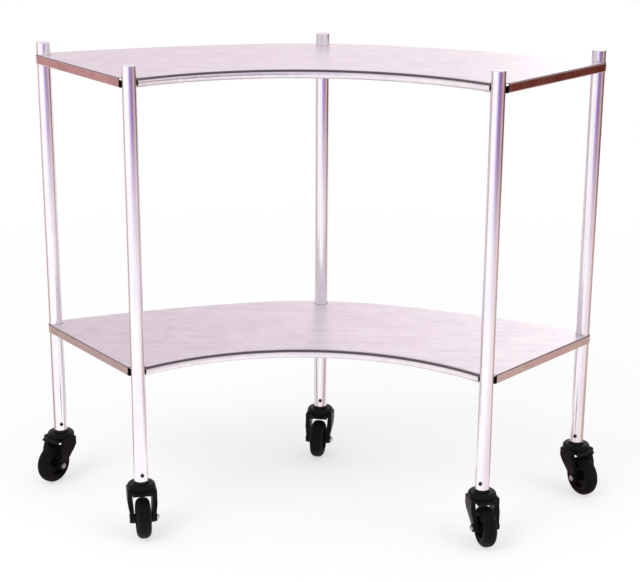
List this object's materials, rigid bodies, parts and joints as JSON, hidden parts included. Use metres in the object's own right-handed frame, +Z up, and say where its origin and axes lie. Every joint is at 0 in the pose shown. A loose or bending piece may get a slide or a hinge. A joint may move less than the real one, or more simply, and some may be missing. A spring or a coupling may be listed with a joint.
{
  "type": "curved instrument trolley",
  "caption": "Curved instrument trolley: folded steel shelves with a concave front and a convex rear on round tube legs, each leg on a black swivel caster that turns and rolls freely.",
  "frame": {"origin": "on the floor under the middle of the trolley's bounding box, with the casters as they stand at rest", "axes": "+Z up, +X to the right as seen from the concave front, the concave front faces -Y"},
  "size_m": [1.0912, 0.4786, 0.864],
  "materials": {
    "shelf_steel": "satin",
    "tube_steel": "polished",
    "cap_steel": "polished",
    "weld_steel": "rough",
    "plug_steel": "machined",
    "zinc_steel": "zinc plated",
    "ball_steel": "polished",
    "dark_screw": "black oxide",
    "fork_black": "satin moulded",
    "hub_black": "satin moulded",
    "tyre_black": "matt"
  },
  "bodies": {
    "frame": {"caster_stem_front_left": "zinc_steel", "caster_stem_front_right": "zinc_steel", "caster_stem_rear_left": "zinc_steel", "caster_stem_rear_middle": "zinc_steel", "caster_stem_rear_right": "zinc_steel", "leg_cap_front_left": "cap_steel", "leg_cap_front_right": "cap_steel", "leg_cap_rear_left": "cap_steel", "leg_cap_rear_middle": "cap_steel", "leg_cap_rear_right": "cap_steel", "leg_inserts": "plug_steel", "leg_set_screws": "dark_screw", "leg_tube_front_left": "tube_steel", "leg_tube_front_right": "tube_steel", "leg_tube_rear_left": "tube_steel", "leg_tube_rear_middle": "tube_steel", "leg_tube_rear_right": "tube_steel", "lower_shelf": "shelf_steel", "lower_shelf_welds": "weld_steel", "stem_lock_nuts": "zinc_steel", "upper_shelf": "shelf_steel", "upper_shelf_welds": "weld_steel"},
    "fork_front_left": {"caster_fork_front_left": "fork_black", "swivel_balls_front_left": "ball_steel", "axle_bolt_front_left": "zinc_steel", "axle_nut_front_left": "zinc_steel", "axle_sleeve_front_left": "zinc_steel"},
    "wheel_front_left": {"wheel_hub_front_left": "hub_black", "wheel_tyre_front_left": "tyre_black"},
    "fork_front_right": {"caster_fork_front_right": "fork_black", "swivel_balls_front_right": "ball_steel", "axle_bolt_front_right": "zinc_steel", "axle_nut_front_right": "zinc_steel", "axle_sleeve_front_right": "zinc_steel"},
    "wheel_front_right": {"wheel_hub_front_right": "hub_black", "wheel_tyre_front_right": "tyre_black"},
    "fork_rear_left": {"caster_fork_rear_left": "fork_black", "swivel_balls_rear_left": "ball_steel", "axle_bolt_rear_left": "zinc_steel", "axle_nut_rear_left": "zinc_steel", "axle_sleeve_rear_left": "zinc_steel"},
    "wheel_rear_left": {"wheel_hub_rear_left": "hub_black", "wheel_tyre_rear_left": "tyre_black"},
    "fork_rear_right": {"caster_fork_rear_right": "fork_black", "swivel_balls_rear_right": "ball_steel", "axle_bolt_rear_right": "zinc_steel", "axle_nut_rear_right": "zinc_steel", "axle_sleeve_rear_right": "zinc_steel"},
    "wheel_rear_right": {"wheel_hub_rear_right": "hub_black", "wheel_tyre_rear_right": "tyre_black"},
    "fork_rear_middle": {"caster_fork_rear_middle": "fork_black", "swivel_balls_rear_middle": "ball_steel", "axle_bolt_rear_middle": "zinc_steel", "axle_nut_rear_middle": "zinc_steel", "axle_sleeve_rear_middle": "zinc_steel"},
    "wheel_rear_middle": {"wheel_hub_rear_middle": "hub_black", "wheel_tyre_rear_middle": "tyre_black"}
  },
  "joints": [
    {"name": "front_left_swivel", "type": "hinge", "parent": "frame", "child": "fork_front_left", "pos_m": [-0.311, -0.17871, 0.083], "axis": [0, 0, 1], "continuous": true},
    {"name": "front_left_wheel_spin", "type": "hinge", "parent": "fork_front_left", "child": "wheel_front_left", "pos_m": [-0.30519, -0.20199, 0.0375], "axis": [0.9703, 0.2419, 0], "continuous": true},
    {"name": "front_right_swivel", "type": "hinge", "parent": "frame", "child": "fork_front_right", "pos_m": [0.311, -0.17871, 0.083], "axis": [0, 0, 1], "continuous": true},
    {"name": "front_right_wheel_spin", "type": "hinge", "parent": "fork_front_right", "child": "wheel_front_right", "pos_m": [0.31761, -0.20178, 0.0375], "axis": [0.9613, 0.2756, 0], "continuous": true},
    {"name": "rear_left_swivel", "type": "hinge", "parent": "frame", "child": "fork_rear_left", "pos_m": [-0.506, 0.05529, 0.083], "axis": [0, 0, 1], "continuous": true},
    {"name": "rear_left_wheel_spin", "type": "hinge", "parent": "fork_rear_left", "child": "wheel_rear_left", "pos_m": [-0.51872, 0.03494, 0.0375], "axis": [0.848, -0.5299, 0], "continuous": true},
    {"name": "rear_right_swivel", "type": "hinge", "parent": "frame", "child": "fork_rear_right", "pos_m": [0.506, 0.05529, 0.083], "axis": [0, 0, 1], "continuous": true},
    {"name": "rear_right_wheel_spin", "type": "hinge", "parent": "fork_rear_right", "child": "wheel_rear_right", "pos_m": [0.51872, 0.03494, 0.0375], "axis": [0.848, 0.5299, 0], "continuous": true},
    {"name": "rear_middle_swivel", "type": "hinge", "parent": "frame", "child": "fork_rear_middle", "pos_m": [0, 0.2133, 0.083], "axis": [0, 0, 1], "continuous": true},
    {"name": "rear_middle_wheel_spin", "type": "hinge", "parent": "fork_rear_middle", "child": "wheel_rear_middle", "pos_m": [-0.00293, 0.18947, 0.0375], "axis": [0.9925, -0.1219, 0], "continuous": true}
  ]
}
